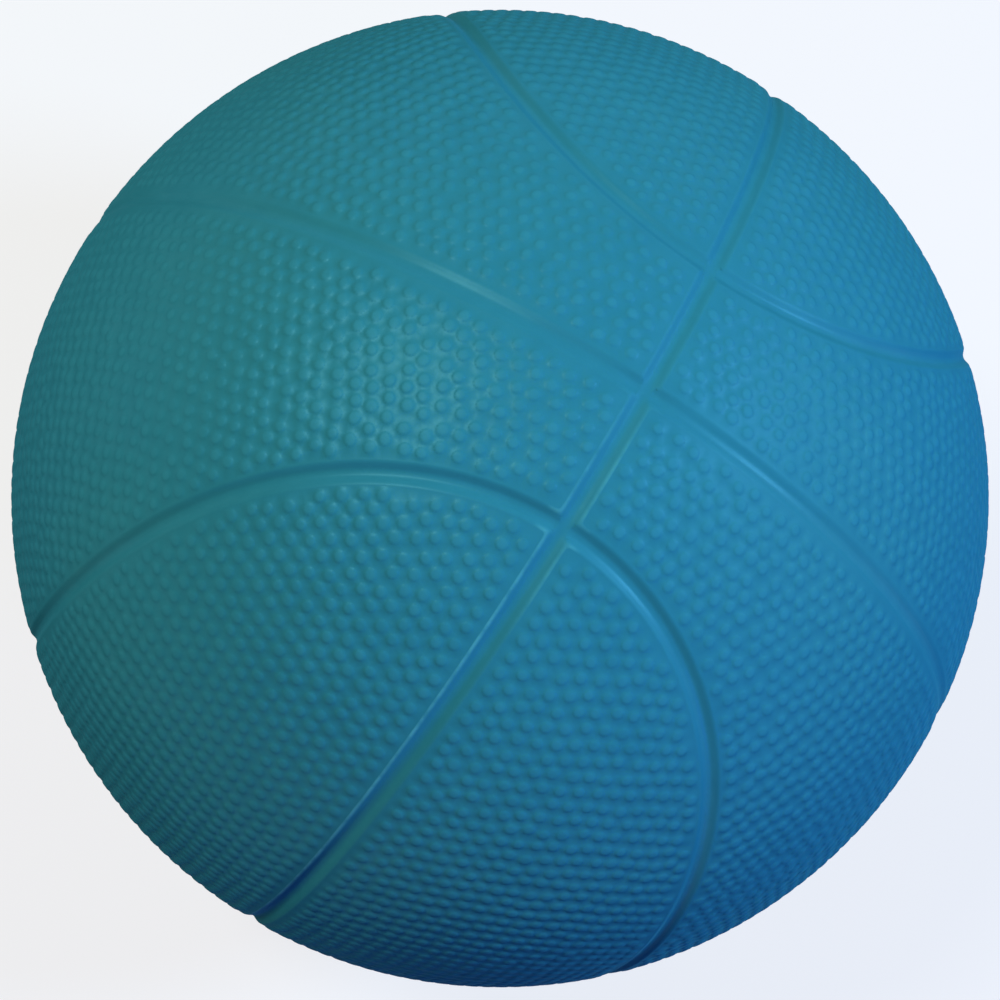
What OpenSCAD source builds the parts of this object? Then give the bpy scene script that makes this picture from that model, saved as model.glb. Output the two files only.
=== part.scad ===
// Moulded rubber dodgeball with a winding, a bladder and an inflation valve.
// Millimetres. The origin is the ball's centre, +Z points up through a crossing of the two ring
// channels, and the valve looks along +Y. Right is +X, and far is the side away from the valve.

/* [Ball] */
// Diameter over the cover panels
ball_d = 216; // [150:2:300]

/* [Layers] */
// Thickness of a cover panel
panel_t = 1.6; // [1.2:0.1:3]
// Thickness of the strip at the bottom of a channel
strip_t = 0.6; // [0.3:0.1:0.9]
// Thickness of the rubber carcass under the cover
carcass_t = 0.6; // [0.4:0.1:1.5]
// Thickness of the thread winding
winding_t = 0.4; // [0.3:0.1:1.2]
// Thickness of the bladder's wall
bladder_t = 0.6; // [0.4:0.1:1.5]
// Film of rubber cement between one layer and the next
bond_gap = 0.1; // [0.08:0.01:0.2]

/* [Channels] */
// Width of every channel between two panels
channel_w = 2.4; // [1.8:0.1:6]
// Angle at the centre from the cross ring to a loop, along the main ring
loop_near_angle = 15; // [10:1:25]
// Angle at the centre from the valve's axis to a loop, at the ball's side
loop_side_angle = 41; // [34:1:48]

/* [Valve housing] */
// Diameter of the neck that reaches the ball's face
neck_d = 9; // [8:0.5:12]
// Diameter of the barrel inside the bladder
barrel_d = 8; // [7:0.5:10]
// Diameter of the flange inside the bladder
flange_d = 22; // [16:1:26]
// Thickness of the flange
flange_t = 1.2; // [0.8:0.1:2]
// Length of the housing from the ball's face to its closed end
housing_len = 16; // [15:0.5:20]
// Diameter of the patch round the housing
patch_d = 34; // [28:1:50]
// Thickness of the patch
patch_t = 0.8; // [0.5:0.1:1.5]

/* [Valve core] */
// Length of the core
core_len = 12; // [11:0.5:13]
// Diameter of the core's head
core_head_d = 5.6; // [5.2:0.1:6.2]
// Thickness of the core's head
core_head_t = 1.5; // [1:0.1:2]
// Diameter of the core under its head
core_top_d = 4.4; // [4.2:0.1:4.9]
// Diameter of the core at its tip
core_tip_d = 3.6; // [3.2:0.1:4]
// Depth of the core's face below the ball's face
core_sink = 0.3; // [0.1:0.1:0.6]
// Running clearance round the core, per side
core_gap = 0.05; // [0.02:0.01:0.09]
// Space left under the core's tip
core_end_gap = 0.5; // [0.2:0.1:0.8]

/* [Needle hole] */
// Diameter of the guide hole that takes the inflating needle
needle_hole_d = 2.1; // [1.8:0.1:2.4]
// Length of the guide hole's straight wall
needle_hole_len = 7; // [5:0.5:8]
// Diameter of the flared mouth
needle_mouth_d = 3; // [2.6:0.1:3.4]
// Depth of the flared mouth
needle_mouth_t = 0.4; // [0.2:0.1:0.8]

/* [Hidden] */

// Steps round a sphere or a loop, and round a small turned piece
big_fn = 180;
small_fn = 96;
// How far a cut runs past the face that it leaves
overrun = 1;
// The sides, as signs along X and Y
right = 1;
left = -1;
valve = 1;
far = -1;

// Radii of the layers' outer faces, from the cover inwards
ball_r = ball_d / 2;
strip_r = ball_r - panel_t + strip_t;
panel_in_r = ball_r - panel_t;
carcass_r = panel_in_r - bond_gap;
winding_r = carcass_r - carcass_t - bond_gap;
bladder_r = winding_r - winding_t - bond_gap;
patch_r = bladder_r - bladder_t - bond_gap;
flange_r = patch_r - patch_t - bond_gap;

// Half widths of a channel and of the strip that lies in it
channel_half = channel_w / 2;
strip_half = channel_half - bond_gap;

// A loop is where a round column that stands along Z cuts the sphere. Its radius and its distance
// from the centre come from the two points that the loop passes: one on the main ring, one at the side.
near_y = ball_r * sin(loop_near_angle);
side_x = ball_r * sin(loop_side_angle);
side_y = ball_r * cos(loop_side_angle);
loop_r = (pow(side_x, 2) + pow(side_y - near_y, 2)) / (2 * (side_y - near_y));
loop_y = near_y + loop_r;

// Heights on the valve's axis, from the ball's centre
core_face = ball_r - core_sink;
head_floor = core_face - core_head_t;
core_tip = core_face - core_len;
hole_mouth = core_face - needle_mouth_t;
hole_floor = hole_mouth - needle_hole_len;
housing_end = ball_r - housing_len;

// Colours of the cover, of the layers inside it and of the valve
cover_colour = [0.15, 0.50, 0.62];
channel_colour = [0.12, 0.45, 0.58];
carcass_colour = [0.20, 0.22, 0.24];
thread_colour = [0.82, 0.80, 0.72];
bladder_colour = [0.10, 0.10, 0.11];
valve_colour = [0.13, 0.13, 0.14];

// Basic shapes

// A round shell between two radii. The turn says where each sphere's own poles and seam lie, which
// is kept clear of the cuts.
module shell(r_out, r_in, turn = [0, 0, 0]) {
    rotate(turn) difference() {
        sphere(r = r_out, $fn = big_fn);
        sphere(r = r_in, $fn = big_fn);
    }
}

// The turn that keeps the seam on the side away from a piece
function seam_beyond(side) = [0, 0, side > 0 ? 180 : 0];

// Turns what is drawn along Z to lie along the valve's axis, +Y
module on_valve_axis() {
    rotate([-90, 0, 0]) children();
}

// The half space beside the main ring, from x_start outwards on one side
module beside_main_ring(side, x_start) {
    reach = ball_r + overrun;
    near_x = side > 0 ? x_start : -x_start - reach;
    translate([near_x, -reach, -reach]) cube([reach, 2 * reach, 2 * reach]);
}

// The half space beside the cross ring, from y_start outwards at one end
module beside_cross_ring(end, y_start) {
    reach = ball_r + overrun;
    near_face_y = end > 0 ? y_start : -y_start - reach;
    translate([-reach, near_face_y, -reach]) cube([2 * reach, reach, 2 * reach]);
}

// The column whose side draws the loop at one end, grown or shrunk by a margin
module loop_column(end, margin) {
    reach = ball_r + overrun;
    translate([0, end * loop_y, -reach])
        cylinder(r = loop_r + margin, h = 2 * reach, $fn = big_fn);
}

// The way of the valve's neck through every layer
module neck_way() {
    on_valve_axis()
        cylinder(d = neck_d + 2 * bond_gap, h = ball_r + overrun, $fn = small_fn);
}

// A curved disc on the valve's axis between two radii from the ball's centre
module valve_disc(r_out, r_in, d) {
    intersection() {
        shell(r_out, r_in);
        on_valve_axis() cylinder(d = d, h = ball_r + overrun, $fn = small_fn);
    }
}

// Cover panels

// A panel between the cross ring and a loop
module waist_panel(side, end) {
    color(cover_colour)
        difference() {
            intersection() {
                shell(ball_r, panel_in_r, seam_beyond(side));
                beside_main_ring(side, channel_half);
                beside_cross_ring(end, channel_half);
            }
            loop_column(end, channel_half);
        }
}

// Half of the oval inside a loop
module end_panel(side, end) {
    color(cover_colour)
        difference() {
            intersection() {
                shell(ball_r, panel_in_r, seam_beyond(side));
                beside_main_ring(side, channel_half);
                loop_column(end, -channel_half);
            }
            if (end == valve) neck_way();
        }
}

// Channel strips

// The strip round the main ring, open where the valve stands
module ring_channel_strip() {
    color(channel_colour)
        difference() {
            shell(strip_r, panel_in_r, [0, 90, 0]);
            beside_main_ring(right, strip_half);
            beside_main_ring(left, strip_half);
            neck_way();
        }
}

// The strip on one side of the cross ring, from main ring to main ring
module cross_channel_strip(side) {
    color(channel_colour)
        difference() {
            intersection() {
                shell(strip_r, panel_in_r, seam_beyond(side));
                beside_main_ring(side, channel_half);
            }
            beside_cross_ring(valve, strip_half);
            beside_cross_ring(far, strip_half);
        }
}

// The strip on one side of a loop, from main ring to main ring
module loop_channel_strip(side, end) {
    color(channel_colour)
        difference() {
            intersection() {
                shell(strip_r, panel_in_r, seam_beyond(side));
                beside_main_ring(side, channel_half);
                loop_column(end, strip_half);
            }
            loop_column(end, -strip_half);
        }
}

// Layers inside the cover

// A whole shell with the neck's hole in it
module layer(r_out, thickness) {
    difference() {
        shell(r_out, r_out - thickness);
        neck_way();
    }
}

module carcass() {
    color(carcass_colour) layer(carcass_r, carcass_t);
}

module thread_winding() {
    color(thread_colour) layer(winding_r, winding_t);
}

module bladder() {
    color(bladder_colour) layer(bladder_r, bladder_t);
}

// Valve

// The patch that strengthens the bladder round the neck
module valve_patch() {
    color(bladder_colour)
        difference() {
            valve_disc(patch_r, patch_r - patch_t, patch_d);
            neck_way();
        }
}

// The core's seat: a pocket for the head and a tapered bore under it
module core_seat() {
    on_valve_axis() {
        translate([0, 0, head_floor - core_gap])
            cylinder(d = core_head_d + 2 * core_gap, h = ball_r - head_floor + overrun, $fn = small_fn);
        translate([0, 0, core_tip - core_end_gap])
            cylinder(
                d1 = core_tip_d + 2 * core_gap, d2 = core_top_d + 2 * core_gap,
                h = head_floor - core_tip + core_end_gap, $fn = small_fn
            );
    }
}

// The housing: a neck through the layers, a flange under the patch and a closed barrel
module valve_housing() {
    color(valve_colour)
        difference() {
            union() {
                intersection() {
                    sphere(r = ball_r, $fn = big_fn);
                    on_valve_axis() translate([0, 0, flange_r - flange_t])
                        cylinder(d = neck_d, h = ball_r, $fn = small_fn);
                }
                valve_disc(flange_r, flange_r - flange_t, flange_d);
                on_valve_axis() translate([0, 0, housing_end])
                    cylinder(d = barrel_d, h = flange_r - housing_end, $fn = small_fn);
            }
            core_seat();
        }
}

// The core: a round head on a tapered plug, with a flared guide hole for the needle
module valve_core() {
    color(valve_colour)
        on_valve_axis() difference() {
            union() {
                translate([0, 0, head_floor]) cylinder(d = core_head_d, h = core_head_t, $fn = small_fn);
                translate([0, 0, core_tip])
                    cylinder(d1 = core_tip_d, d2 = core_top_d, h = head_floor - core_tip, $fn = small_fn);
            }
            translate([0, 0, hole_floor])
                cylinder(d = needle_hole_d, h = needle_hole_len + needle_mouth_t, $fn = small_fn);
            translate([0, 0, hole_mouth])
                cylinder(d1 = needle_hole_d, d2 = needle_mouth_d, h = needle_mouth_t, $fn = small_fn);
        }
}

waist_panel(right, valve);  // waist_panel_valve_right
waist_panel(left, valve);  // waist_panel_valve_left
waist_panel(right, far);  // waist_panel_far_right
waist_panel(left, far);  // waist_panel_far_left
end_panel(right, valve);  // end_panel_valve_right
end_panel(left, valve);  // end_panel_valve_left
end_panel(right, far);  // end_panel_far_right
end_panel(left, far);  // end_panel_far_left
ring_channel_strip();
cross_channel_strip(right);  // cross_channel_strip_right
cross_channel_strip(left);  // cross_channel_strip_left
loop_channel_strip(right, valve);  // loop_channel_strip_valve_right
loop_channel_strip(left, valve);  // loop_channel_strip_valve_left
loop_channel_strip(right, far);  // loop_channel_strip_far_right
loop_channel_strip(left, far);  // loop_channel_strip_far_left
carcass();
thread_winding();
bladder();
valve_patch();
valve_housing();
valve_core();
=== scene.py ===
import math

import bpy
import numpy as np
from mathutils import Matrix, Vector
from mathutils.geometry import delaunay_2d_cdt


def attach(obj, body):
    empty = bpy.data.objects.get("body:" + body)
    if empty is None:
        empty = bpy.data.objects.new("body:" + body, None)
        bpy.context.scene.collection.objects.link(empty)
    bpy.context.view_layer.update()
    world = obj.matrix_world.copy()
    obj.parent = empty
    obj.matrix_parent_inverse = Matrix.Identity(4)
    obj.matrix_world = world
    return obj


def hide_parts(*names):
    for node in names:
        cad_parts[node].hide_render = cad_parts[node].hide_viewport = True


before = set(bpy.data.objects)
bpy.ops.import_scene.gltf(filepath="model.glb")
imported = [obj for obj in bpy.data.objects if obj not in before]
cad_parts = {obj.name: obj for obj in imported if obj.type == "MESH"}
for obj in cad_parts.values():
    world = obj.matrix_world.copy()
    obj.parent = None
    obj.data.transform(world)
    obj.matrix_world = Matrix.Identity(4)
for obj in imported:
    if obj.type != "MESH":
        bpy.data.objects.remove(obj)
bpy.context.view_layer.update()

MM = 0.001
VALVE, FAR = 1, -1
RIGHT, LEFT = 1, -1
END_WORDS = {VALVE: "valve", FAR: "far"}
SIDE_WORDS = {RIGHT: "right", LEFT: "left"}
AXIS_X, AXIS_Y = 0, 1

# Ball and cover
BALL_R = 108 * MM
PANEL_T = 1.6 * MM
PANEL_IN_R = BALL_R - PANEL_T

# Channels. A loop is where a round column along Z cuts the sphere.
CHANNEL_HALF = 1.2 * MM
LOOP_NEAR_ANGLE = math.radians(15)
LOOP_SIDE_ANGLE = math.radians(41)
LOOP_NEAR_Y = math.sin(LOOP_NEAR_ANGLE)
LOOP_SIDE_X = math.sin(LOOP_SIDE_ANGLE)
LOOP_SIDE_Y = math.cos(LOOP_SIDE_ANGLE)
LOOP_RHO = (LOOP_SIDE_X**2 + (LOOP_SIDE_Y - LOOP_NEAR_Y)**2) / (2 * (LOOP_SIDE_Y - LOOP_NEAR_Y))
LOOP_Y = LOOP_NEAR_Y + LOOP_RHO
# How softly two sides of a panel meet in a corner
CORNER_SOFT = 0.33 * MM
# Least values of two divisors, so that no step across a panel's sides gets too long
LEAST_SLOPE = 0.3
LEAST_STEEPNESS = 0.2

# Pebbles stand on the land, the smooth face of a panel, with their tops on the ball's own sphere
PEBBLE_H = 0.21 * MM
PEBBLE_LEAST_SHARE = 0.86
LAND_R = BALL_R - PEBBLE_H
PEBBLE_R = 1.28 * MM
PEBBLE_R_SPREAD = 0.10 * MM
PEBBLE_OVAL = 0.06
PEBBLE_PITCH = 3.6 * MM
ROW_PITCH = 3.15 * MM
LEAST_IN_ROW = 3
PEBBLE_JITTER = {"waist": 0.42 * MM, "end": 0.22 * MM}
BORDER = 1.4 * MM
NECK_BORDER = 3.2 * MM
# A place this little outside the border is moved onto it, and one further out is left out
BORDER_REACH = 0.45 * ROW_PITCH
# In the end a pebble may stand this far over the border
BORDER_SLACK = 0.2 * MM
# Places nearer to each other than the least pitch are pushed apart
LEAST_PITCH = 3.05 * MM
LEAST_KEPT_SHARE = 0.93
PUSH_ROUNDS = 14
# Seed of the first panel's pebbles. Each next panel has the next seed.
FIRST_SEED = 7
# Rings of a pebble: share of its radius, share of its height, number of points
PEBBLE_RINGS = ((0.48, 0.96, 6), (0.74, 0.76, 10), (0.91, 0.34, 12), (1.07, 0.0, 12))

# The cross ring's floor rises on its way out of the main ring's, but the loops' floor doesn't
FLOOR_R = BALL_R - 0.93 * MM
CROSS_RISE = 0.32 * MM
CROSS_RISE_RUN = (1.5 * MM, 7 * MM)
CROSS_SIDES = (4 * MM, 8 * MM)
# A channel's side is one soft S: a lip on the panel, and under it a fillet on the strip
LIP_W = 1.05 * MM
LIP_MARGIN = 0.06 * MM
LIP_STEPS = 9
FILLET_W = 1.05 * MM

# Wear by share of a lip's width, and how far from the main ring's middle it fades away
LIP_WEAR = {0.25: 0.1, 0.5: 0.6, 0.67: 1.0, 0.83: 1.0, 1.0: 0.5}
LIP_WEAR_SIDES = (3.0 * MM, 5.0 * MM)
LIP_WEAR_LEAST = 0.05
# Wear of the main ring's two lips by the way from the cross ring, at 0, to the far end, at 1
LIP_WEAR_LEFT = {0.0: 0.0, 0.10: 0.3, 0.25: 0.45, 0.45: 0.85, 0.6: 1.0}
LIP_WEAR_RIGHT = {0.0: 0.0, 0.10: 0.4, 0.22: 0.5, 0.34: 0.45, 0.46: 0.05}

# Steps along a panel's edge, and the rows of points on its inner face
EDGE_STEP = 0.72 * MM
CORNER_STEP = 0.28 * MM
# The way inwards is 1 long on one side of a panel, and no longer than this in a corner
CORNER_WAY = 0.99
# An edge is at least this long when it closes
LEAST_EDGE = 20 * EDGE_STEP
# Where the search for a panel's edge starts, for a panel on the right at the valve's end
EDGE_STARTS = {"waist": (1.0, 1.0, 0.3), "end": (0.3, 1.0, 0.2)}
INNER_PITCH = 6 * MM
INNER_BORDER = 0.4 * INNER_PITCH
# Above this angle a fold between two faces is a sharp edge
SHARP_ANGLE = math.radians(50)
# Directions that turn a pebble, and a panel that is flattened to find its triangles
PEBBLE_EAST = np.array([0.31, 0.52, 0.79])
PANEL_EAST = np.array([0.2, 0.3, 0.9])
# Blender's triangulation: keep what lies inside the edge, and join points nearer than this
TRIANGLES_INSIDE = 1
JOIN_DISTANCE = 1e-6
# Stands in for a length of 0 in a division
TINY = 1e-9

# Points across a channel strip, from its middle line
STRIP_OFFSETS = np.array([0, 0.2, 0.4, 0.6, 0.75, 0.9, 1.05, 1.2, 1.3, 1.5]) * MM
# A wing runs on under the panel with most of the lip's slope, and then drops
WING_DROP = 0.03 * MM
WING_RISE_W = 0.1 * MM
WING_RISE_SHARE = 0.75
STRIP_STEP = 0.9 * MM
# Points along a middle line before it is spaced evenly
RING_LINE_POINTS = 800
CROSS_LINE_POINTS = 400
LOOP_LINE_POINTS = 600

# Valve
NECK_R = 4.5 * MM
NECK_WAY_R = NECK_R + 0.1 * MM
HOUSING_END = BALL_R - 16 * MM
BARREL_R = 4 * MM
FLANGE_R = 11 * MM
FLANGE_T = 1.2 * MM
FLANGE_TOP = BALL_R - 4.5 * MM
CORE_FACE = BALL_R - 0.3 * MM
HEAD_R = 2.8 * MM
HEAD_T = 1.5 * MM
CORE_TIP = CORE_FACE - 12 * MM
CORE_TOP_R = 2.2 * MM
CORE_TIP_R = 1.8 * MM
CORE_GAP = 0.05 * MM
CORE_END_GAP = 0.5 * MM
HOLE_R = 1.05 * MM
MOUTH_R = 1.5 * MM
MOUTH_T = 0.4 * MM
HOLE_LEN = 7 * MM
# The neck's face lies just under the ball's sphere, with a rim round a shallow dish
NECK_FACE = BALL_R - 0.1 * MM
RIM_H = 0.12 * MM
RIM_W = 0.75 * MM
RIM_FOOT_W = 0.95 * MM
# The flange's two faces slope towards its rim
FLANGE_UNDER_SLOPE = 0.4 * MM
FLANGE_TOP_SLOPE = 0.5 * MM
TURN_STEPS = 96


# Places on the ball. A place is a unit vector, and a distance along the surface is in metres.

def unit(v):
    return v / np.linalg.norm(v, axis=-1, keepdims=True)


def towards(q, goal):
    """The direction along the surface at q that leads to goal, and the length of goal's part
    along it."""
    t = goal - np.sum(q * goal, -1, keepdims=True) * q
    size = np.maximum(np.linalg.norm(t, axis=-1, keepdims=True), TINY)
    return t / size, size[..., 0]


def plane_side(axis, sign, start):
    """The side of a panel along the channel in the plane across an axis."""
    goal = np.zeros(3)
    goal[axis] = sign

    def measure(q):
        return BALL_R * np.arcsin(np.clip(q @ goal, -1, 1)) - start, towards(q, goal)[0]

    return measure


def loop_side(end, sign, start):
    """The side of a panel along a loop: sign 1 for a panel outside the loop, -1 for one inside."""

    def measure(q):
        out = q - np.sum(q * (0, 0, 1), -1, keepdims=True) * (0, 0, 1) - (0, end * LOOP_Y, 0)
        rho = np.linalg.norm(out, axis=-1)
        direction, slope = towards(q, out / rho[..., None])
        depth = sign * BALL_R * (rho - LOOP_RHO) / np.maximum(slope, LEAST_SLOPE) - start
        return depth, sign * direction

    return measure


def neck_side(start):
    """The side of a panel round the valve's neck."""
    goal = np.array([0.0, 1.0, 0.0])

    def measure(q):
        return BALL_R * np.arccos(np.clip(q @ goal, -1, 1)) - start, -towards(q, goal)[0]

    return measure


def panel_sides(kind, side, end, neck_start=NECK_WAY_R):
    """The sides that bound a waist panel or an end panel."""
    sides = [plane_side(AXIS_X, side, CHANNEL_HALF)]
    if kind == "waist":
        sides += [plane_side(AXIS_Y, end, CHANNEL_HALF), loop_side(end, 1, CHANNEL_HALF)]
    else:
        sides.append(loop_side(end, -1, CHANNEL_HALF))
        if end == VALVE:
            sides.append(neck_side(neck_start))
    return sides


def depth_inside(sides, q):
    """How far q lies inside all the sides, whose corners are rounded, and the way inwards."""
    depths, ways = zip(*(side(q) for side in sides))
    depths, ways = np.stack(depths), np.stack(ways)
    low = depths.min(0)
    weights = np.exp((low - depths) / CORNER_SOFT)
    total = weights.sum(0)
    return low - CORNER_SOFT * np.log(total), (weights[..., None] * ways).sum(0) / total[..., None]


def to_depth(sides, q, depth, tries=5):
    """Moves q to a depth inside the sides."""
    for _ in range(tries):
        now, way = depth_inside(sides, q)
        steep = np.maximum(np.sum(way * way, -1, keepdims=True), LEAST_STEEPNESS)
        q = unit(q + (depth - now)[..., None] * way / steep / BALL_R)
    return q


def outline(sides, start):
    """Places round a panel's edge, with the panel on the left, closer together at its corners."""
    q = to_depth(sides, unit(np.array([start], float)), 0)
    places, gone = [q[0]], 0
    while True:
        way = depth_inside(sides, q)[1]
        in_a_corner = np.linalg.norm(way) <= CORNER_WAY
        step = CORNER_STEP if in_a_corner else EDGE_STEP
        ahead = unit(np.cross(q, way))
        q = to_depth(sides, unit(q + ahead * step / BALL_R), 0, tries=2)
        gone += step
        if gone > LEAST_EDGE and np.linalg.norm(q[0] - places[0]) * BALL_R < step:
            return np.array(places)
        places.append(q[0])


def rows_of_places(axis, row_pitch, pitch):
    """Places in rows on the whole ball, each row in a plane across the axis."""
    rows = []
    for k in range(int(BALL_R * math.pi / 2 / row_pitch)):
        for sign in (1, -1):
            height = (k + 0.5) * row_pitch / BALL_R
            around = math.cos(height)
            count = max(LEAST_IN_ROW, round(2 * math.pi * BALL_R * around / pitch))
            turn = 2 * math.pi * (np.arange(count) + 0.5 * (k % 2)) / count
            ring = np.empty((count, 3))
            ring[:, axis] = sign * math.sin(height)
            ring[:, 1 - axis] = around * np.sin(turn)
            ring[:, 2] = around * np.cos(turn)
            rows.append(ring)
    return np.concatenate(rows)


def pebble_places(axis, sides, jitter, rng):
    """Where a panel's pebbles stand: rows that the mould maker's hand has loosened."""
    room = BORDER + PEBBLE_R
    q = rows_of_places(axis, ROW_PITCH, PEBBLE_PITCH)
    q = q[depth_inside(sides, q)[0] > room - BORDER_REACH]
    q = unit(q + rng.normal(0, jitter, q.shape) / BALL_R)
    least = LEAST_PITCH / BALL_R
    for _ in range(PUSH_ROUNDS):
        outside = depth_inside(sides, q)[0] < room
        q[outside] = to_depth(sides, q[outside], room, tries=3)
        near = 2 - 2 * q @ q.T < least**2
        a, b = np.nonzero(np.triu(near, 1))
        apart = q[a] - q[b]
        far = np.linalg.norm(apart, axis=1, keepdims=True)
        push = 0.5 * (least - far) * apart / np.maximum(far, TINY)
        np.add.at(q, a, push)
        np.add.at(q, b, -push)
        q = unit(q)
    near = np.triu(2 - 2 * q @ q.T < (LEAST_KEPT_SHARE * least)**2, 1)
    keep = ~near.any(0) & (depth_inside(sides, q)[0] > room - BORDER_SLACK)
    return q[keep]


def pebbles(centres, rng):
    """The points of all pebbles, as places and heights over the land."""
    east, _ = towards(centres, PEBBLE_EAST)
    north = np.cross(centres, east)
    size = PEBBLE_R + rng.uniform(-1, 1, len(centres)) * PEBBLE_R_SPREAD
    oval = rng.uniform(0, PEBBLE_OVAL, len(centres))
    oval_turn = rng.uniform(0, math.pi, len(centres))
    height = PEBBLE_H * rng.uniform(PEBBLE_LEAST_SHARE, 1.0, len(centres))
    places, heights = [centres], [height]
    for number, (share, rise, count) in enumerate(PEBBLE_RINGS):
        turn = 2 * math.pi * (np.arange(count) + 0.5 * (number % 2)) / count
        wobble = 1 + oval[:, None] * np.cos(2 * (turn[None] - oval_turn[:, None]))
        reach = (size[:, None] * share * wobble / BALL_R)[..., None]
        to_east, to_north = np.cos(turn)[None, :, None], np.sin(turn)[None, :, None]
        flat = east[:, None] * to_east + north[:, None] * to_north
        ring = np.cos(reach) * centres[:, None] + np.sin(reach) * flat
        places.append(ring.reshape(-1, 3))
        heights.append(np.repeat(height * rise, count))
    return np.concatenate(places), np.concatenate(heights)


def triangles(edge, inner, centre):
    """Triangles that fill a closed edge and take in the inner places, seen from outside."""
    east, _ = towards(centre, PANEL_EAST)
    north = np.cross(centre, east)
    q = np.concatenate([edge, inner])
    scale = 2 * BALL_R / MM / (1 + q @ centre)
    flat = [Vector(p) for p in np.stack([scale * (q @ east), scale * (q @ north)], -1)]
    count = len(edge)
    ring = [(i, (i + 1) % count) for i in range(count)]
    result = delaunay_2d_cdt(flat, ring, [], TRIANGLES_INSIDE, JOIN_DISTANCE)
    faces, sources = result[2], result[3]
    first = [s[0] for s in sources]
    tris = np.array([[first[i] for i in f] for f in faces])
    a, b, c = (np.array([[*flat[i]] for i in tris[:, k]]) for k in range(3))
    turned = (b[:, 0] - a[:, 0]) * (c[:, 1] - a[:, 1]) < (b[:, 1] - a[:, 1]) * (c[:, 0] - a[:, 0])
    tris[turned] = tris[turned][:, ::-1]
    return tris


# Meshes

def make_piece(name, points, faces, replaced, material, body="ball", marks=None):
    """An object from points and faces, in place of CAD nodes. Marks are values at its points."""
    mesh = bpy.data.meshes.new(name)
    mesh.from_pydata(points.tolist(), [], faces)
    mesh.polygons.foreach_set("use_smooth", np.ones(len(mesh.polygons), bool))
    mesh.set_sharp_from_angle(angle=SHARP_ANGLE)
    for mark, values in (marks or {}).items():
        attribute = mesh.attributes.new(mark, "FLOAT", "POINT")
        attribute.data.foreach_set("value", values.astype(np.float32))
    mesh.materials.append(material)
    piece = bpy.data.objects.new(name, mesh)
    bpy.context.scene.collection.objects.link(piece)
    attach(piece, body)
    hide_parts(*replaced)
    return piece


def bands(rings, count):
    """Faces between rings of count points, numbered one ring after another."""
    i = np.arange(count)
    j = (i + 1) % count
    faces = []
    for ring in range(rings - 1):
        low, high = ring * count, (ring + 1) * count
        faces.append(np.stack([low + i, low + j, high + j, high + i], -1))
    return np.concatenate(faces)


def ease(x, low, high):
    """A soft step from 0 at low to 1 at high."""
    t = np.clip((x - low) / (high - low), 0, 1)
    return t * t * (3 - 2 * t)


def floor_radius(q):
    """Radius of the middle of a channel's floor."""
    off_main_ring = ease(np.abs(q[..., AXIS_X]) * BALL_R, *CROSS_RISE_RUN)
    on_cross_ring = 1 - ease(np.abs(q[..., AXIS_Y]) * BALL_R, *CROSS_SIDES)
    return FLOOR_R + CROSS_RISE * off_main_ring * on_cross_ring


def wall_top(q):
    """Radius where a panel's lip meets a strip's fillet."""
    return 0.5 * (LAND_R + floor_radius(q))


def edge_profile():
    """Depth inwards from the panel's edge, share of the lip's height, and share of its wear."""
    wear_at, wear = zip(*LIP_WEAR.items())
    profile = []
    for share in np.linspace(0, 1, LIP_STEPS):
        rise = math.sin(0.5 * math.pi * share)
        profile.append((LIP_W * share, rise, np.interp(share, wear_at, wear, left=0)))
    profile.append((LIP_W + LIP_MARGIN, 1.0, 0.0))
    return profile


def lip_wear(q):
    """How worn a panel's lip is at a place."""
    by_main_ring = 1 - ease(np.abs(q[..., AXIS_X]) * BALL_R, *LIP_WEAR_SIDES)
    to_far_end = -q[..., AXIS_Y]
    left = np.interp(to_far_end, *zip(*LIP_WEAR_LEFT.items()))
    right = np.interp(to_far_end, *zip(*LIP_WEAR_RIGHT.items()))
    return by_main_ring * np.maximum(LIP_WEAR_LEAST, np.where(q[..., AXIS_X] > 0, right, left))


def panel(kind, side, end, edge, material, seed):
    """A cover panel: its wall and lip, its pebbled face and its plain inner face."""
    sides = panel_sides(kind, side, end)
    rng = np.random.default_rng(seed)
    places, radii, worn = [edge], [np.full(len(edge), PANEL_IN_R)], [np.zeros(len(edge))]
    q, low = edge, wall_top(edge)
    for depth, rise, wear in edge_profile():
        q = to_depth(sides, q, depth) if depth else edge
        places.append(q)
        radii.append(low + (LAND_R - low) * rise)
        worn.append(wear * lip_wear(q))
    count, rings = len(edge), len(places)
    centre = unit(edge.mean(0))

    pebble_sides = panel_sides(kind, side, end, NECK_WAY_R + NECK_BORDER - BORDER)
    rows_axis = AXIS_Y if kind == "waist" else AXIS_X
    centres = pebble_places(rows_axis, pebble_sides, PEBBLE_JITTER[kind], rng)
    face, heights = pebbles(centres, rng)
    inner = rows_of_places(rows_axis, INNER_PITCH, INNER_PITCH)
    inner = inner[depth_inside(sides, inner)[0] > INNER_BORDER]

    outer_start = rings * count
    inner_start = outer_start + len(face)
    outer = triangles(places[-1], face, centre)
    outer = np.where(outer < count, outer + (rings - 1) * count, outer - count + outer_start)
    under = triangles(edge, inner, centre)[:, ::-1]
    under = np.where(under < count, under, under - count + inner_start)

    places += [face, inner]
    radii += [LAND_R + heights, np.full(len(inner), PANEL_IN_R)]
    points = np.concatenate(places) * np.concatenate(radii)[:, None]
    pebble, lip = np.zeros(len(points)), np.zeros(len(points))
    pebble[outer_start:inner_start] = heights / PEBBLE_H
    lip[:outer_start] = np.concatenate(worn)
    node = f"{kind}_panel_{END_WORDS[end]}_{SIDE_WORDS[side]}"
    faces = bands(rings, count).tolist() + outer.tolist() + under.tolist()
    marks = {"pebble": pebble, "worn_lip": lip}
    return make_piece(f"{node}_pebbled", points, faces, [node], material, marks=marks)


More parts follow.
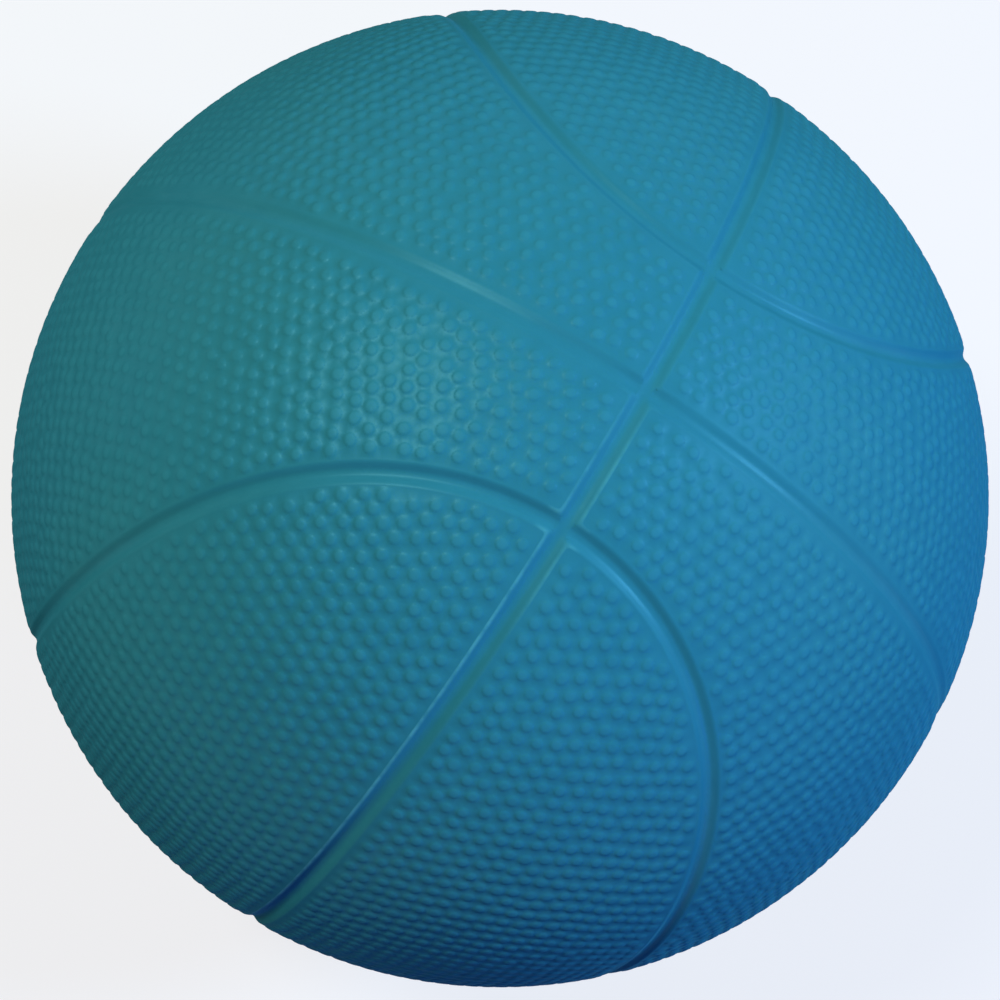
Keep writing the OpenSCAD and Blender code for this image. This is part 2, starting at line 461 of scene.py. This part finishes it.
def all_panels(material):
    """The eight cover panels. The edges of like panels are mirror images."""
    seed = FIRST_SEED
    for kind in ("waist", "end"):
        for end in (VALVE, FAR):
            start = np.multiply(EDGE_STARTS[kind], (1, end, 1))
            edge = outline(panel_sides(kind, RIGHT, end), start)
            for side in (RIGHT, LEFT):
                own_edge = edge if side == RIGHT else (edge * (-1, 1, 1))[::-1]
                panel(kind, side, end, own_edge, material, seed)
                seed += 1


# Channel strips

ALL_PANEL_SIDES = [
    panel_sides(kind, side, end)
    for kind in ("waist", "end") for side in (RIGHT, LEFT) for end in (VALVE, FAR)
]


def channel_floor(q):
    """Radius of the channels' floor, which rises towards the panels' walls, and its further rise
    under the panels."""
    to_wall = -np.max([depth_inside(sides, q)[0] for sides in ALL_PANEL_SIDES], axis=0)
    near = 1 - np.clip(to_wall / FILLET_W, 0, 1)
    low, top = floor_radius(q), wall_top(q)
    under = np.clip(-to_wall, 0, WING_RISE_W) / LIP_W
    # A lip leaves the wall with a slope of pi / 2 times its height over its width
    rise = WING_RISE_SHARE * (LAND_R - top) * 0.5 * math.pi * under
    return low + (top - low) * (1 - np.cos(0.5 * math.pi * near)), rise


def evenly(curve):
    """The same curve with its points a strip step apart."""
    gone = np.concatenate([[0], np.cumsum(np.linalg.norm(np.diff(curve, axis=0), axis=1))]) * BALL_R
    count = round(gone[-1] / STRIP_STEP)
    at = np.linspace(0, gone[-1], count + 1)
    return unit(np.stack([np.interp(at, gone, curve[:, k]) for k in range(3)], -1))


def strip(node, middle, material, drop, trim=None):
    """A channel strip along its middle line. trim(offset) gives a length to leave out at both ends
    of the line at an offset from the middle."""
    ahead = unit(np.gradient(middle, axis=0))
    across = np.cross(middle, ahead)
    offsets = np.concatenate([-STRIP_OFFSETS[:0:-1], STRIP_OFFSETS])
    if trim is not None:
        length = np.sum(np.linalg.norm(np.diff(middle, axis=0), axis=1)) * BALL_R
        at = np.linspace(0, 1, len(middle))
    columns = []
    for offset in offsets:
        line, way = middle, across
        if trim is not None:
            cut = trim(offset) / length
            wanted = cut + at * (1 - 2 * cut)
            line = unit(np.stack([np.interp(wanted, at, middle[:, k]) for k in range(3)], -1))
            way = unit(np.stack([np.interp(wanted, at, across[:, k]) for k in range(3)], -1))
        q = math.cos(offset / BALL_R) * line + math.sin(offset / BALL_R) * way
        top, rise = channel_floor(q)
        if abs(offset) == STRIP_OFFSETS[-1]:
            top = top - drop
        elif abs(offset) == STRIP_OFFSETS[-2]:
            top = np.where(rise > 0, top + rise, top - drop)
        columns.append(q * top[:, None])
    bottom = [unit(columns[k]) * PANEL_IN_R for k in (-1, 0)]
    rows = np.stack(columns + bottom, 1)
    count = rows.shape[1]
    points = rows.reshape(-1, 3)
    faces = bands(len(rows), count)[:, ::-1].tolist()
    faces.append(list(range(count)))
    faces.append(list(range(len(points) - count, len(points)))[::-1])
    return make_piece(f"{node}_moulded", points, faces, [node], material)


def ring_line():
    """The main ring's middle line, from the valve's axis over the top and round to it again."""
    turn = np.linspace(0, 2 * math.pi, RING_LINE_POINTS)
    return evenly(np.stack([np.zeros_like(turn), np.cos(turn), np.sin(turn)], -1))


def cross_line(side):
    """The cross ring's middle line on one side, between the main ring's channel walls."""
    start = math.asin(CHANNEL_HALF / BALL_R)
    turn = np.linspace(start, math.pi - start, CROSS_LINE_POINTS)
    return evenly(np.stack([side * np.sin(turn), np.zeros_like(turn), np.cos(turn)], -1))


def loop_line(side, end):
    """A loop's middle line on one side, from the main ring at the top to the main ring below."""
    widest = math.acos((LOOP_Y - LOOP_SIDE_Y) / LOOP_RHO)
    first = math.asin(CHANNEL_HALF / BALL_R / LOOP_RHO)
    share = math.sqrt(1 - first / widest)
    way = np.linspace(share, -share, LOOP_LINE_POINTS)
    turn = widest * (1 - way**2)
    x = side * LOOP_RHO * np.sin(turn)
    y = end * (LOOP_Y - LOOP_RHO * np.cos(turn))
    z = np.sign(way) * np.sqrt(np.maximum(0, 1 - x**2 - y**2))
    return evenly(np.stack([x, y, z], -1))


def all_strips(material):
    """The strips at the bottom of the channels."""

    def neck_trim(offset):
        return math.sqrt(NECK_WAY_R**2 - offset**2)

    strip("ring_channel_strip", ring_line(), material, WING_DROP, neck_trim)
    for side in (RIGHT, LEFT):
        strip(f"cross_channel_strip_{SIDE_WORDS[side]}", cross_line(side), material, 2 * WING_DROP)
        for end in (VALVE, FAR):
            node = f"loop_channel_strip_{END_WORDS[end]}_{SIDE_WORDS[side]}"
            strip(node, loop_line(side, end), material, 2 * WING_DROP)


# Valve

def turned(node, profile, material, body):
    """A turned piece on the valve's axis from a profile of (radius, height), counter-clockwise from
    the axis, which both its ends touch."""
    turn = 2 * math.pi * np.arange(TURN_STEPS) / TURN_STEPS
    rings = []
    for radius, height in profile[1:-1]:
        ring = [radius * np.sin(turn), np.full(TURN_STEPS, height), radius * np.cos(turn)]
        rings.append(np.stack(ring, -1))
    points = np.concatenate(rings)
    faces = bands(len(rings), TURN_STEPS).tolist()
    low, high = len(points), len(points) + 1
    points = np.concatenate([points, [[0, profile[0][1], 0], [0, profile[-1][1], 0]]])
    last = low - TURN_STEPS
    for i in range(TURN_STEPS):
        j = (i + 1) % TURN_STEPS
        faces.append([low, j, i])
        faces.append([high, last + i, last + j])
    return make_piece(f"{node}_moulded", points, faces, [node], material, body)


def rounded(corner, before, after, radius, steps=4):
    """Points that round a profile's corner off between the points before and after it."""
    corner, before, after = (np.array(p) for p in (corner, before, after))
    start = corner + radius * unit(before - corner)
    stop = corner + radius * unit(after - corner)
    return [
        tuple((1 - t)**2 * start + 2 * t * (1 - t) * corner + t**2 * stop)
        for t in np.linspace(0, 1, steps + 1)
    ]


def round_profile(points):
    """A profile from (radius, height, rounding) points."""
    plain = [p[:2] for p in points]
    out = []
    for i, (radius, height, rounding) in enumerate(points):
        if rounding:
            out += rounded(plain[i], plain[i - 1], plain[i + 1], rounding)
        else:
            out.append((radius, height))
    return out


def valve_housing(material):
    """The housing: a closed barrel, a flange, and a neck with a rim round the core's seat."""
    seat_floor = CORE_FACE - HEAD_T - CORE_GAP
    bore_end = CORE_TIP - CORE_END_GAP
    dish = NECK_FACE - RIM_H
    profile = round_profile([
        (0, HOUSING_END, 0),
        (BARREL_R, HOUSING_END, 0.7 * MM),
        (BARREL_R, FLANGE_TOP - FLANGE_T, 0.5 * MM),
        (FLANGE_R, FLANGE_TOP - FLANGE_T - FLANGE_UNDER_SLOPE, 0.4 * MM),
        (FLANGE_R, FLANGE_TOP - FLANGE_TOP_SLOPE, 0.4 * MM),
        (NECK_R, FLANGE_TOP, 0.2 * MM),
        (NECK_R, NECK_FACE, 0.3 * MM),
        (NECK_R - RIM_W, NECK_FACE, 0.12 * MM),
        (NECK_R - RIM_FOOT_W, dish, 0.12 * MM),
        (HEAD_R + CORE_GAP, dish, 0.15 * MM),
        (HEAD_R + CORE_GAP, seat_floor, 0),
        (CORE_TOP_R + CORE_GAP, seat_floor, 0),
        (CORE_TIP_R + CORE_GAP, bore_end, 0),
        (0, bore_end, 0),
    ])
    return turned("valve_housing", profile, material, "ball")


def valve_core(material):
    """The core: a tapered plug with a domed head and a flared hole for the needle."""
    mouth = CORE_FACE - MOUTH_T
    under_head = CORE_FACE - HEAD_T
    profile = round_profile([
        (0, CORE_TIP, 0),
        (CORE_TIP_R, CORE_TIP, 0.4 * MM),
        (CORE_TOP_R, under_head, 0.15 * MM),
        (HEAD_R, under_head, 0.2 * MM),
        (HEAD_R, CORE_FACE, 0.3 * MM),
        (MOUTH_R, CORE_FACE, 0.12 * MM),
        (HOLE_R, mouth, 0.15 * MM),
        (HOLE_R, mouth - HOLE_LEN, 0),
        (0, mouth - HOLE_LEN, 0),
    ])
    return turned("valve_core", profile, material, "valve_core")


# Materials

class Nodes:
    """A short way to build a material's nodes."""

    def __init__(self, name):
        self.material = bpy.data.materials.new(name)
        self.material.use_nodes = True
        self.tree = self.material.node_tree
        self.shader = self.tree.nodes["Principled BSDF"]

    def add(self, kind, **settings):
        node = self.tree.nodes.new(kind)
        for key, value in settings.items():
            setattr(node, key, value)
        return node

    def link(self, source, target):
        self.tree.links.new(source, target)

    def value(self, socket, x):
        if isinstance(x, (int, float, tuple)):
            socket.default_value = x
        else:
            self.link(x, socket)

    def place(self):
        return self.add("ShaderNodeTexCoord").outputs["Object"]

    def noise(self, scale, detail, roughness=0.55, place=None):
        node = self.add("ShaderNodeTexNoise")
        self.link(place or self.place(), node.inputs["Vector"])
        node.inputs["Scale"].default_value = scale
        node.inputs["Detail"].default_value = detail
        node.inputs["Roughness"].default_value = roughness
        return node.outputs["Fac"]

    def ranged(self, x, low, high, to_low=0.0, to_high=1.0):
        """x stretched, so that low gives to_low and high gives to_high, and no further."""
        node = self.add("ShaderNodeMapRange")
        self.value(node.inputs["Value"], x)
        node.inputs["From Min"].default_value = low
        node.inputs["From Max"].default_value = high
        node.inputs["To Min"].default_value = to_low
        node.inputs["To Max"].default_value = to_high
        return node.outputs["Result"]

    def pattern(self, scale, detail, span, to=(0.0, 1.0), roughness=0.55, place=None):
        """A noise whose span from low to high is stretched to other values."""
        return self.ranged(self.noise(scale, detail, roughness, place), *span, *to)

    def math(self, operation, a, b=0.5):
        node = self.add("ShaderNodeMath", operation=operation)
        self.value(node.inputs[0], a)
        self.value(node.inputs[1], b)
        return node.outputs["Value"]

    def mix(self, factor, a, b):
        node = self.add("ShaderNodeMix", data_type="RGBA")
        self.value(node.inputs["Factor"], factor)
        self.value(node.inputs["A"], a)
        self.value(node.inputs["B"], b)
        return node.outputs["Result"]

    def across(self):
        """How far a point is from the plane of the main ring, with the sign of its side."""
        node = self.add("ShaderNodeSeparateXYZ")
        self.link(self.place(), node.inputs["Vector"])
        return node.outputs["X"]

    def duller_main_ring(self):
        """More roughness along the main ring, which rubs on the ground most."""
        return self.ranged(self.math("ABSOLUTE", self.across()), *RUBBED_SIDES, RUBBED_ROUGHER, 0.0)

    def duller_edge(self):
        """More roughness where the surface is seen at a low angle, as rubber with a bloom has."""
        facing = self.add("ShaderNodeLayerWeight").outputs["Facing"]
        return self.ranged(facing, *BLOOM_FACING, 0.0, BLOOM_ROUGHER)

    def attribute(self, name):
        return self.add("ShaderNodeAttribute", attribute_name=name).outputs["Fac"]

    def bump(self, height, distance, strength=1.0):
        node = self.add("ShaderNodeBump")
        node.inputs["Strength"].default_value = strength
        node.inputs["Distance"].default_value = distance
        self.link(height, node.inputs["Height"])
        return node.outputs["Normal"]

    def finish(self, base, roughness, normal):
        self.link(base, self.shader.inputs["Base Color"])
        self.link(roughness, self.shader.inputs["Roughness"])
        self.link(normal, self.shader.inputs["Normal"])
        return self.material


def colour(red, green, blue):
    return (red, green, blue, 1.0)


COVER = colour(0.026, 0.240, 0.315)
COVER_GREENER = colour(0.028, 0.244, 0.295)
COVER_DARK = colour(0.018, 0.196, 0.260)
COVER_WORN = colour(0.042, 0.310, 0.392)
LIP_WORN = colour(0.085, 0.430, 0.470)
DUST = colour(0.042, 0.280, 0.350)

# Patterns of both outer rubbers: a slow drift of colour, and the fine grain of the mould
DRIFT = dict(scale=14, detail=2, span=(0.35, 0.65))
GRAIN = dict(scale=2600, detail=3, roughness=0.6)
GRAIN_DEPTH = 0.02 * MM
GRAIN_STRENGTH = 0.4

# Gloss of both outer rubbers
RUBBER_SPECULAR = 0.16
RUBBER_SHEEN = colour(0.30, 0.85, 1.0)
RUBBED_SIDES = (2.5 * MM, 5.0 * MM)
RUBBED_ROUGHER = 0.16
BLOOM_FACING = (0.25, 0.75)
BLOOM_ROUGHER = 0.62


def outer_rubber(n, base, rough, grain):
    """The material of an outer rubber from its nodes."""
    rough = n.math("ADD", n.math("ADD", rough, n.duller_main_ring()), n.duller_edge())
    n.shader.inputs["Specular IOR Level"].default_value = RUBBER_SPECULAR
    n.shader.inputs["Specular Tint"].default_value = RUBBER_SHEEN
    return n.finish(base, rough, n.bump(grain, GRAIN_DEPTH, GRAIN_STRENGTH))


# The cover's pebbles are scuffed on their tops, its lips are worn through to pale rubber in broken
# lines, and dust lies on it in patches of fine specks.
COVER_MOTTLE = dict(scale=160, detail=4, roughness=0.6, span=(0.32, 0.70))
COVER_MOTTLE_SHARE = 0.35
PEBBLE_TOP = (0.55, 1.0)
SCUFF_PATCHES = dict(scale=150, detail=2, span=(0.35, 0.65), to=(0.25, 1.0))
SCUFF_SHARE = 0.50
SCUFF_ROUGHER = 0.24
LIP_BREAKS = dict(scale=260, detail=3, span=(0.35, 0.6), to=(0.3, 1.0))
COVER_SPECKS = dict(scale=900, detail=3, roughness=0.7, span=(0.52, 0.78))
COVER_DUST_PATCHES = dict(scale=22, detail=3, span=(0.42, 0.66), to=(0.0, 0.28))
COVER_ROUGHNESS = dict(scale=90, detail=4, span=(0.3, 0.7), to=(0.34, 0.41))
GRAIN_ROUGHNESS = ((0.3, 0.7), (-0.03, 0.03))
# The cover's right side is duller than its left, from handling
HANDLED_SIDE = (0.0, 30 * MM)
HANDLED_ROUGHER = 0.14


def cover_rubber():
    """Moulded rubber of the cover panels."""
    n = Nodes("cover_rubber")
    base = n.mix(n.pattern(**DRIFT), COVER, COVER_GREENER)
    mottle = n.math("MULTIPLY", n.pattern(**COVER_MOTTLE), COVER_MOTTLE_SHARE)
    base = n.mix(mottle, base, COVER_DARK)
    top = n.ranged(n.attribute("pebble"), *PEBBLE_TOP)
    scuff = n.math("MULTIPLY", top, n.pattern(**SCUFF_PATCHES))
    base = n.mix(n.math("MULTIPLY", scuff, SCUFF_SHARE), base, COVER_WORN)
    rubbed = n.math("MULTIPLY", n.attribute("worn_lip"), n.pattern(**LIP_BREAKS))
    base = n.mix(rubbed, base, LIP_WORN)
    dusty = n.math("MULTIPLY", n.pattern(**COVER_SPECKS), n.pattern(**COVER_DUST_PATCHES))
    base = n.mix(dusty, base, DUST)
    grain = n.noise(**GRAIN)
    grain_span, grain_rougher = GRAIN_ROUGHNESS
    rough = n.pattern(**COVER_ROUGHNESS)
    rough = n.math("ADD", rough, n.ranged(grain, *grain_span, *grain_rougher))
    rough = n.math("ADD", rough, n.math("MULTIPLY", scuff, SCUFF_ROUGHER))
    rough = n.math("ADD", rough, n.ranged(n.across(), *HANDLED_SIDE, 0.0, HANDLED_ROUGHER))
    return outer_rubber(n, base, rough, grain)


CHANNEL_MOTTLE = dict(scale=220, detail=4, roughness=0.6, span=(0.3, 0.7), to=(0.05, 0.40))
CHANNEL_SPECKS = dict(scale=700, detail=3, roughness=0.7, span=(0.55, 0.8), to=(0.0, 0.22))
CHANNEL_ROUGHNESS = dict(scale=120, detail=3, span=(0.3, 0.7), to=(0.30, 0.38))


def channel_rubber():
    """The smooth rubber of the channels, a little dustier than the cover."""
    n = Nodes("channel_rubber")
    base = n.mix(n.pattern(**DRIFT), COVER, COVER_GREENER)
    base = n.mix(n.pattern(**CHANNEL_MOTTLE), base, COVER_DARK)
    base = n.mix(n.pattern(**CHANNEL_SPECKS), base, DUST)
    return outer_rubber(n, base, n.pattern(**CHANNEL_ROUGHNESS), n.noise(**GRAIN))


CARCASS_BLACK = colour(0.030, 0.034, 0.038)
CARCASS_CHALKED = colour(0.16, 0.165, 0.17)
CHALK = dict(scale=45, detail=5, roughness=0.65, span=(0.45, 0.75), to=(0.0, 0.4))
CARCASS_ROUGHNESS = dict(scale=200, detail=3, span=(0.3, 0.7), to=(0.62, 0.82))
CLOTH_MARKS = dict(scale=1400, detail=2)
CLOTH_DEPTH = 0.05 * MM
CLOTH_STRENGTH = 0.6


def carcass_rubber():
    """Calendered rubber with chalk left from the mould."""
    n = Nodes("carcass_rubber")
    base = n.mix(n.pattern(**CHALK), CARCASS_BLACK, CARCASS_CHALKED)
    cloth = n.bump(n.noise(**CLOTH_MARKS), CLOTH_DEPTH, CLOTH_STRENGTH)
    return n.finish(base, n.pattern(**CARCASS_ROUGHNESS), cloth)


THREAD_DEEP = colour(0.30, 0.25, 0.16)
THREAD_TOP = colour(0.70, 0.66, 0.54)
CEMENT = colour(0.46, 0.36, 0.20)
THREAD_TURNS = ((0.2, 0.9, 0.1), (1.1, 0.3, 0.7), (0.5, 2.0, 1.3), (2.2, 1.2, 0.4))
THREAD_SCALE = 330
THREAD_DISTORTION = 1.5
THREAD_DETAIL_SCALE = 0.4
THREAD_PATCHES = dict(scale=30, detail=1, span=(0.42, 0.58))
THREAD_SPAN = (0.2, 0.9)
THREAD_DEPTH = 0.2 * MM
CEMENT_MOST = 0.55
CEMENT_PATCHES = dict(scale=60, detail=3, span=(0.4, 0.7), to=(0.0, CEMENT_MOST))
THREAD_ROUGHNESS = 0.72
CEMENT_ROUGHNESS = 0.42


def wound_thread():
    """Nylon thread wound in many directions, set in rubber cement."""
    n = Nodes("wound_thread")
    place = n.place()
    height = None
    for turn in THREAD_TURNS:
        mapping = n.add("ShaderNodeMapping")
        n.link(place, mapping.inputs["Vector"])
        mapping.inputs["Rotation"].default_value = turn
        turned_place = mapping.outputs["Vector"]
        wave = n.add("ShaderNodeTexWave", wave_type="BANDS", bands_direction="X")
        n.link(turned_place, wave.inputs["Vector"])
        wave.inputs["Scale"].default_value = THREAD_SCALE
        wave.inputs["Distortion"].default_value = THREAD_DISTORTION
        wave.inputs["Detail Scale"].default_value = THREAD_DETAIL_SCALE
        patch = n.pattern(**THREAD_PATCHES, place=turned_place)
        layer = n.math("MULTIPLY", wave.outputs["Fac"], patch)
        height = layer if height is None else n.math("MAXIMUM", height, layer)
    cement = n.pattern(**CEMENT_PATCHES)
    base = n.mix(n.ranged(height, *THREAD_SPAN), THREAD_DEEP, THREAD_TOP)
    base = n.mix(cement, base, CEMENT)
    rough = n.ranged(cement, 0.0, CEMENT_MOST, THREAD_ROUGHNESS, CEMENT_ROUGHNESS)
    return n.finish(base, rough, n.bump(height, THREAD_DEPTH))


BUTYL_BLACK = colour(0.012, 0.012, 0.014)
BUTYL_TALCED = colour(0.20, 0.20, 0.20)
TALC = dict(scale=35, detail=5, roughness=0.7, span=(0.48, 0.8), to=(0.0, 0.35))
BUTYL_ROUGHNESS = dict(scale=150, detail=3, span=(0.3, 0.7), to=(0.40, 0.66))
BUTYL_GRAIN = dict(scale=1200, detail=2)
BUTYL_GRAIN_DEPTH = 0.04 * MM
BUTYL_GRAIN_STRENGTH = 0.5


def butyl_rubber():
    """Black butyl of the bladder and its patch, with talc on it."""
    n = Nodes("butyl_rubber")
    base = n.mix(n.pattern(**TALC), BUTYL_BLACK, BUTYL_TALCED)
    grain = n.bump(n.noise(**BUTYL_GRAIN), BUTYL_GRAIN_DEPTH, BUTYL_GRAIN_STRENGTH)
    return n.finish(base, n.pattern(**BUTYL_ROUGHNESS), grain)


HOUSING_BLACK = colour(0.016, 0.017, 0.019)
HOUSING_DUST = colour(0.09, 0.10, 0.11)
CORE_BLACK = colour(0.024, 0.026, 0.029)
CORE_DUST = colour(0.12, 0.13, 0.13)
VALVE_DUST = dict(scale=700, detail=4, roughness=0.65, span=(0.5, 0.8), to=(0.0, 0.5))
VALVE_ROUGHNESS = dict(scale=500, detail=3, span=(0.3, 0.7), to=(0.38, 0.58))
VALVE_GRAIN = dict(scale=4000, detail=2)
VALVE_GRAIN_DEPTH = 0.01 * MM
VALVE_GRAIN_STRENGTH = 0.6


def valve_rubber(name, black, dust):
    """Smooth dark rubber of the valve's pieces, dusty in places."""
    n = Nodes(name)
    base = n.mix(n.pattern(**VALVE_DUST), black, dust)
    grain = n.bump(n.noise(**VALVE_GRAIN), VALVE_GRAIN_DEPTH, VALVE_GRAIN_STRENGTH)
    return n.finish(base, n.pattern(**VALVE_ROUGHNESS), grain)


# Stage, light and camera

CAMERA_BACK = (-0.1110, -0.2709, 0.9562)
CAMERA_UP = (-0.5306, 0.8297, 0.1735)
CAMERA_DISTANCE = 4.0 * BALL_R
FOCAL_PX = 1893.9
FRAME_PX = 1000
BALL_CENTRE_UP_PX = 1.5
SENSOR_MM = 36
CLIP_NEAR = 0.01
CLIP_FAR = 50


def add_camera():
    """The camera where the photograph was taken from."""
    camera = bpy.data.cameras.new("camera")
    camera.sensor_width = SENSOR_MM
    camera.lens = SENSOR_MM * FOCAL_PX / FRAME_PX
    camera.shift_y = -BALL_CENTRE_UP_PX / FRAME_PX
    camera.clip_start = CLIP_NEAR
    camera.clip_end = CLIP_FAR
    back = Vector(CAMERA_BACK).normalized()
    right = Vector(CAMERA_UP).cross(back).normalized()
    up = back.cross(right)
    holder = bpy.data.objects.new("camera", camera)
    turn = Matrix((right, up, back)).transposed().to_4x4()
    holder.matrix_world = Matrix.Translation(back * CAMERA_DISTANCE) @ turn
    bpy.context.scene.collection.objects.link(holder)
    bpy.context.scene.camera = holder


WHITE = colour(1, 1, 1)
FLOOR_SIZE = 12.0
FLOOR_BOUNCE = colour(0.16, 0.16, 0.16)
FLOOR_ROUGHNESS = 0.9
FLOOR_PAPER = colour(0.90, 0.90, 0.90)
FLOOR_GLOW_SHARE = 0.75


def add_floor():
    """A plain floor under the ball: white paper to the eye, with the ball's shadow on it."""
    half = FLOOR_SIZE / 2
    mesh = bpy.data.meshes.new("floor")
    corners = [(-half, -half), (half, -half), (half, half), (-half, half)]
    mesh.from_pydata([(x, y, -BALL_R) for x, y in corners], [], [(0, 1, 2, 3)])
    n = Nodes("floor_paper")
    n.shader.inputs["Base Color"].default_value = FLOOR_BOUNCE
    n.shader.inputs["Roughness"].default_value = FLOOR_ROUGHNESS
    n.shader.inputs["Specular IOR Level"].default_value = 0.0
    paper = n.add("ShaderNodeBsdfDiffuse")
    paper.inputs["Color"].default_value = FLOOR_PAPER
    glow = n.add("ShaderNodeEmission")
    glow.inputs["Color"].default_value = WHITE
    glow.inputs["Strength"].default_value = 1.0
    white = n.add("ShaderNodeMixShader")
    white.inputs["Fac"].default_value = FLOOR_GLOW_SHARE
    n.link(paper.outputs["BSDF"], white.inputs[1])
    n.link(glow.outputs["Emission"], white.inputs[2])
    path = n.add("ShaderNodeLightPath")
    seen = n.math("MAXIMUM", path.outputs["Is Camera Ray"], path.outputs["Is Glossy Ray"])
    seen = n.math("MAXIMUM", seen, path.outputs["Is Transmission Ray"])
    mix = n.add("ShaderNodeMixShader")
    n.link(seen, mix.inputs["Fac"])
    n.link(n.shader.outputs["BSDF"], mix.inputs[1])
    n.link(white.outputs["Shader"], mix.inputs[2])
    n.link(mix.outputs["Shader"], n.tree.nodes["Material Output"].inputs["Surface"])
    mesh.materials.append(n.material)
    floor = bpy.data.objects.new("floor", mesh)
    bpy.context.scene.collection.objects.link(floor)


WORLD_COLOUR = colour(0.30, 0.55, 1.0)
WORLD_STRENGTH = 0.028


def add_world():
    """A soft even light from all round, seen as white."""
    world = bpy.data.worlds.new("world")
    world.use_nodes = True
    bpy.context.scene.world = world
    tree = world.node_tree
    plain = tree.nodes["Background"]
    plain.inputs["Color"].default_value = WORLD_COLOUR
    plain.inputs["Strength"].default_value = WORLD_STRENGTH
    white = tree.nodes.new("ShaderNodeBackground")
    white.inputs["Color"].default_value = WHITE
    white.inputs["Strength"].default_value = 1.0
    path = tree.nodes.new("ShaderNodeLightPath")
    seen = path.outputs["Is Camera Ray"]
    for ray in ("Is Glossy Ray", "Is Transmission Ray"):
        either = tree.nodes.new("ShaderNodeMath")
        either.operation = "MAXIMUM"
        tree.links.new(seen, either.inputs[0])
        tree.links.new(path.outputs[ray], either.inputs[1])
        seen = either.outputs["Value"]
    mix = tree.nodes.new("ShaderNodeMixShader")
    tree.links.new(seen, mix.inputs["Fac"])
    tree.links.new(plain.outputs["Background"], mix.inputs[1])
    tree.links.new(white.outputs["Background"], mix.inputs[2])
    tree.links.new(mix.outputs["Shader"], tree.nodes["World Output"].inputs["Surface"])


LAMP_DISTANCE = 1.2
LAMP_SIZE = 0.35
# Lamps: name, direction from the ball, power in watts, colour
LAMPS = (
    ("key_soft_box", (-0.562, -0.085, 0.823), 8.1, (1.0, 0.98, 0.88)),
    ("side_fill", (0.558, 0.383, 0.738), 11.8, (0.37, 0.64, 1.0)),
    ("low_fill", (0.825, -0.359, 0.433), 3.0, (0.0, 0.02, 1.0)),
)


def add_lamps():
    """Large soft lamps that face the ball."""
    for name, way, power, tint in LAMPS:
        lamp = bpy.data.lights.new(name, "AREA")
        lamp.shape = "DISK"
        lamp.size = LAMP_SIZE
        lamp.energy = power
        lamp.color = tint
        holder = bpy.data.objects.new(name, lamp)
        back = Vector(way).normalized()
        holder.rotation_mode = "QUATERNION"
        holder.rotation_quaternion = (-back).to_track_quat("-Z", "Y")
        holder.location = back * LAMP_DISTANCE
        bpy.context.scene.collection.objects.link(holder)


bpy.context.scene.view_settings.view_transform = "Standard"
add_camera()
add_floor()
add_world()
add_lamps()

all_panels(cover_rubber())
all_strips(channel_rubber())
valve_housing(valve_rubber("housing_rubber", HOUSING_BLACK, HOUSING_DUST))
valve_core(valve_rubber("core_rubber", CORE_BLACK, CORE_DUST))

# The layers inside stay the CAD's own solids and get materials of their own
butyl = butyl_rubber()
layer_materials = {
    "carcass": carcass_rubber(),
    "thread_winding": wound_thread(),
    "bladder": butyl,
    "valve_patch": butyl,
}
for layer, layer_material in layer_materials.items():
    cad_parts[layer].material_slots[0].material = layer_material
